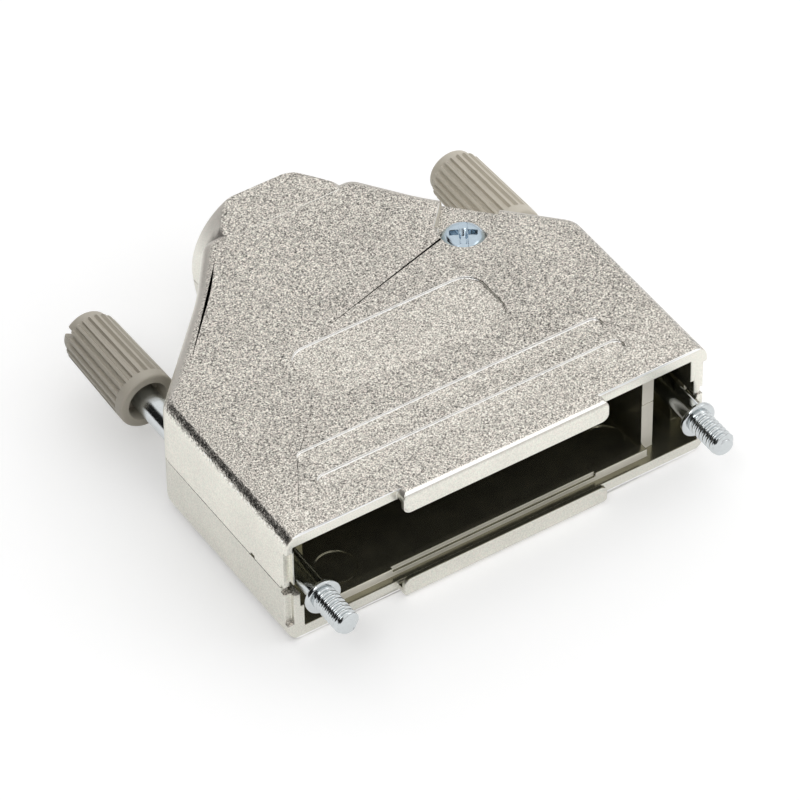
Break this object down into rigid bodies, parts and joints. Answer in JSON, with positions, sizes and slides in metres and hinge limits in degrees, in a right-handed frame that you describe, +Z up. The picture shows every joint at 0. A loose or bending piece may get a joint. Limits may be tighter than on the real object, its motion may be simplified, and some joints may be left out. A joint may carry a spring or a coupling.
{
  "type": "d-sub hood",
  "caption": "Two-part die-cast hood for a wide D-shaped cable connector, with a straight cable exit and two knurled thumbscrews.",
  "frame": {"origin": "middle of the connector face, on the plane where the connector's flange seats", "axes": "+X across the hood, +Y from the connector face back to the cable exit, +Z up out of the flat upper face"},
  "size_m": [0.0538, 0.0551, 0.0152],
  "materials": {
    "nickel_casting": "nickel-plated zinc die casting, fine blasted grain on the flat faces, satin on the walls",
    "bright_zinc": "bright blue zinc-plated steel",
    "turned_steel": "bright plated turned steel",
    "knob_plastic": "grey-beige moulded plastic, satin",
    "clamp_metal": "plain die-cast metal"
  },
  "bodies": {
    "hood": {"top_shell": "nickel_casting", "bottom_shell": "nickel_casting", "case_screw_top": "bright_zinc", "case_screw_bottom": "bright_zinc", "clamp_upper": "clamp_metal", "clamp_lower": "clamp_metal", "clamp_screws": "bright_zinc"},
    "thumbscrew_left": {"thumbscrew_shaft_left": "turned_steel", "knob_left": "knob_plastic"},
    "thumbscrew_right": {"thumbscrew_shaft_right": "turned_steel", "knob_right": "knob_plastic"}
  },
  "joints": [
    {"name": "thumbscrew_left_turn", "type": "hinge", "parent": "hood", "child": "thumbscrew_left", "pos_m": [-0.02352, 0.02, 0], "axis": [0, 1, 0], "continuous": true},
    {"name": "thumbscrew_right_turn", "type": "hinge", "parent": "hood", "child": "thumbscrew_right", "pos_m": [0.02352, 0.02, 0], "axis": [0, 1, 0], "continuous": true}
  ]
}
